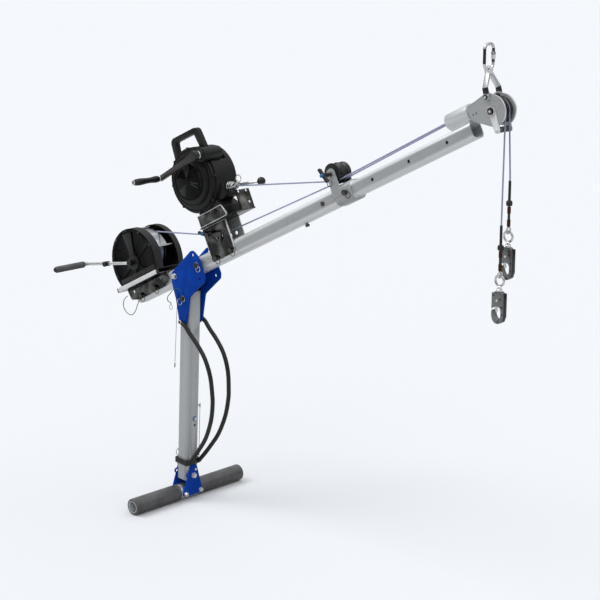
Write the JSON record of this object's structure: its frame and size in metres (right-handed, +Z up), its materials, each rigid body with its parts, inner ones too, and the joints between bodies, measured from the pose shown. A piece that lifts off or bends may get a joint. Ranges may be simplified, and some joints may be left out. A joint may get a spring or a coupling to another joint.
{
  "type": "folding pole hoist",
  "caption": "Folding pole hoist: cross-bar foot, leaning mast, telescopic boom, drum winch, retrieval block and rescue hooks on two-part head wheels.",
  "frame": {"origin": "middle of the foot's cross bar, on the bar's axis", "axes": "+Z up, +Y along the cross bar away from the cranks, +X towards the boom's head"},
  "size_m": [2.098, 0.57, 1.9181],
  "materials": {
    "aluminium": "satin extrusion",
    "blue_paint": "powder coat",
    "bright_steel": "bright",
    "stainless": "polished sheet",
    "black_housing": "gloss black",
    "black_plastic": "black",
    "grey_cast": "cast",
    "dark_crank": "dark brown-grey",
    "grey_foam": "grey",
    "sleeve_rubber": "matt",
    "line": "braided line",
    "green_cord": "thin cord",
    "ferrule": "copper brown"
  },
  "bodies": {
    "foot": {"foot_tube": "aluminium", "foot_sleeves": "sleeve_rubber", "foot_plates": "blue_paint", "foot_bolts": "bright_steel", "foot_lock_pin": "bright_steel"},
    "mast": {"mast_tube": "aluminium", "mast_cap": "black_plastic", "mast_fasteners": "bright_steel", "hoses": "sleeve_rubber", "hose_collar": "sleeve_rubber", "mast_wire": "bright_steel"},
    "crown": {"crown_plates": "blue_paint", "crown_pins": "bright_steel", "crown_lanyard": "green_cord", "crown_wire": "bright_steel"},
    "boom": {"boom_outer": "aluminium", "pulley_bracket": "stainless", "boom_pins": "bright_steel", "winch_bracket": "stainless", "winch_base": "stainless", "winch_covers": "black_housing", "winch_guard": "bright_steel", "winch_lanyard": "green_cord", "block_bracket": "stainless", "block_housing": "black_housing", "block_gearbox": "black_housing", "block_handle": "black_housing", "block_nozzle": "bright_steel", "rear_lines": "line"},
    "winch_reel": {"winch_drum": "grey_cast", "winch_winding": "line"},
    "winch_crank_body": {"winch_crank": "bright_steel"},
    "winch_grip_body": {"winch_grip": "grey_foam"},
    "block_reel": {"block_drum": "grey_cast"},
    "block_crank_body": {"block_crank": "dark_crank"},
    "block_grip_body": {"block_grip": "black_plastic"},
    "shift_knob": {"block_knob": "black_plastic"},
    "guide_wheel": {"guide_sheave": "black_plastic"},
    "mid_wheel_near": {"mid_sheave_near": "black_plastic"},
    "mid_wheel_far": {"mid_sheave_far": "black_plastic"},
    "slide": {"boom_inner": "aluminium", "head_pipe": "aluminium", "head_plates": "aluminium", "head_bolts": "bright_steel", "head_lines": "line"},
    "head_wheel_near": {"head_sheave_near": "black_plastic"},
    "head_wheel_far": {"head_sheave_far": "black_plastic"},
    "bail_body": {"bail": "bright_steel"},
    "carabiner_body": {"carabiner": "bright_steel"},
    "carabiner_gate_body": {"carabiner_gate": "bright_steel"},
    "drop": {"keeper_arms": "aluminium", "drop_line_near": "line", "drop_line_far": "line", "line_fittings": "ferrule", "hook_eyes": "bright_steel"},
    "keeper_roller_body": {"keeper_roller": "grey_cast"},
    "hook_near_body": {"hook_near": "grey_cast"},
    "hook_far_body": {"hook_far": "grey_cast"},
    "hook_gate_near_body": {"hook_gate_near": "bright_steel"},
    "hook_gate_far_body": {"hook_gate_far": "bright_steel"}
  },
  "joints": [
    {"name": "mast_tilt", "type": "hinge", "parent": "foot", "child": "mast", "pos_m": [0.00377, 0, 0.0719], "axis": [0.9986, 0, -0.0523], "range_deg": [0, 90]},
    {"name": "crown_fold", "type": "hinge", "parent": "mast", "child": "crown", "pos_m": [0.04162, 0, 0.71781], "axis": [0, 1, 0], "range_deg": [0, 85]},
    {"name": "boom_angle", "type": "hinge", "parent": "crown", "child": "boom", "pos_m": [-0.00002, 0, 0.89202], "axis": [0, 1, 0], "range_deg": [-17.5, 21], "deforming": ["drop_line_near", "drop_line_far"]},
    {"name": "boom_extend", "type": "slide", "parent": "boom", "child": "slide", "axis": [0.8965, 0, 0.4431], "range_m": [-0.311, 0], "deforming": ["head_lines"]},
    {"name": "winch_drum_turn", "type": "hinge", "parent": "boom", "child": "winch_reel", "pos_m": [-0.21976, 0, 0.95297], "axis": [0, 1, 0], "continuous": true},
    {"name": "winch_crank_turn", "type": "hinge", "parent": "boom", "child": "winch_crank_body", "pos_m": [-0.2159, 0, 0.91807], "axis": [0, 1, 0], "continuous": true},
    {"name": "winch_grip_spin", "type": "hinge", "parent": "winch_crank_body", "child": "winch_grip_body", "pos_m": [-0.49888, 0, 0.8702], "axis": [0, 1, 0], "continuous": true},
    {"name": "block_drum_turn", "type": "hinge", "parent": "boom", "child": "block_reel", "pos_m": [0.13106, 0, 1.28698], "axis": [0, 1, 0], "continuous": true},
    {"name": "block_crank_turn", "type": "hinge", "parent": "boom", "child": "block_crank_body", "pos_m": [0.20849, 0, 1.39776], "axis": [0, 1, 0], "continuous": true},
    {"name": "block_grip_spin", "type": "hinge", "parent": "block_crank_body", "child": "block_grip_body", "pos_m": [0.01402, 0, 1.28862], "axis": [0, 1, 0], "continuous": true},
    {"name": "guide_wheel_spin", "type": "hinge", "parent": "boom", "child": "guide_wheel", "pos_m": [0.19948, 0, 1.09324], "axis": [0, 1, 0], "continuous": true},
    {"name": "mid_wheel_near_spin", "type": "hinge", "parent": "boom", "child": "mid_wheel_near", "pos_m": [0.82965, 0, 1.39131], "axis": [0, 1, 0], "continuous": true},
    {"name": "mid_wheel_far_spin", "type": "hinge", "parent": "boom", "child": "mid_wheel_far", "pos_m": [0.82965, 0, 1.39131], "axis": [0, 1, 0], "continuous": true},
    {"name": "head_wheel_near_spin", "type": "hinge", "parent": "slide", "child": "head_wheel_near", "pos_m": [1.52415, 0, 1.67431], "axis": [0, 1, 0], "continuous": true},
    {"name": "head_wheel_far_spin", "type": "hinge", "parent": "slide", "child": "head_wheel_far", "pos_m": [1.52415, 0, 1.67431], "axis": [0, 1, 0], "continuous": true},
    {"name": "bail_swing", "type": "hinge", "parent": "slide", "child": "bail_body", "pos_m": [1.50422, 0, 1.71689], "axis": [0, 1, 0], "range_deg": [-40, 40]},
    {"name": "carabiner_swing", "type": "hinge", "parent": "bail_body", "child": "carabiner_body", "pos_m": [1.48218, 0, 1.80011], "axis": [0, 1, 0], "range_deg": [-35, 35]},
    {"name": "carabiner_gate_open", "type": "hinge", "parent": "carabiner_body", "child": "carabiner_gate_body", "pos_m": [1.48218, 0.0225, 1.82611], "axis": [1, 0, 0], "range_deg": [0, 22], "stiffness_Nm_per_rad": 0.03, "springref_deg": -17.19},
    {"name": "drop_hang", "type": "hinge", "parent": "slide", "child": "drop", "pos_m": [1.52415, 0, 1.67431], "axis": [0, 1, 0], "range_deg": [-21, 17.5]},
    {"name": "keeper_roller_spin", "type": "hinge", "parent": "drop", "child": "keeper_roller_body", "pos_m": [1.54803, 0, 1.61584], "axis": [0, 1, 0], "continuous": true},
    {"name": "hook_near_swivel", "type": "hinge", "parent": "drop", "child": "hook_near_body", "pos_m": [1.56215, -0.014, 1.09261], "axis": [0, 0, 1], "continuous": true},
    {"name": "hook_far_swivel", "type": "hinge", "parent": "drop", "child": "hook_far_body", "pos_m": [1.56215, 0.024, 1.23261], "axis": [0, 0, 1], "continuous": true},
    {"name": "hook_near_gate", "type": "hinge", "parent": "hook_near_body", "child": "hook_gate_near_body", "pos_m": [1.54715, -0.014, 1.06561], "axis": [0, 1, 0], "range_deg": [-20, 0], "stiffness_Nm_per_rad": 0.03, "springref_deg": 17.19},
    {"name": "hook_far_gate", "type": "hinge", "parent": "hook_far_body", "child": "hook_gate_far_body", "pos_m": [1.54715, 0.024, 1.20561], "axis": [0, 1, 0], "range_deg": [-20, 0], "stiffness_Nm_per_rad": 0.03, "springref_deg": 17.19},
    {"name": "shift_knob_pull", "type": "slide", "parent": "boom", "child": "shift_knob", "axis": [0.9745, 0, 0.2244], "range_m": [0, 0.012]}
  ],
  "couplings": [
    {"joint": "winch_crank_turn", "follows": "winch_drum_turn", "ratio": 4},
    {"joint": "block_crank_turn", "follows": "block_drum_turn", "ratio": 6},
    {"joint": "drop_hang", "follows": "boom_angle", "ratio": -1}
  ]
}
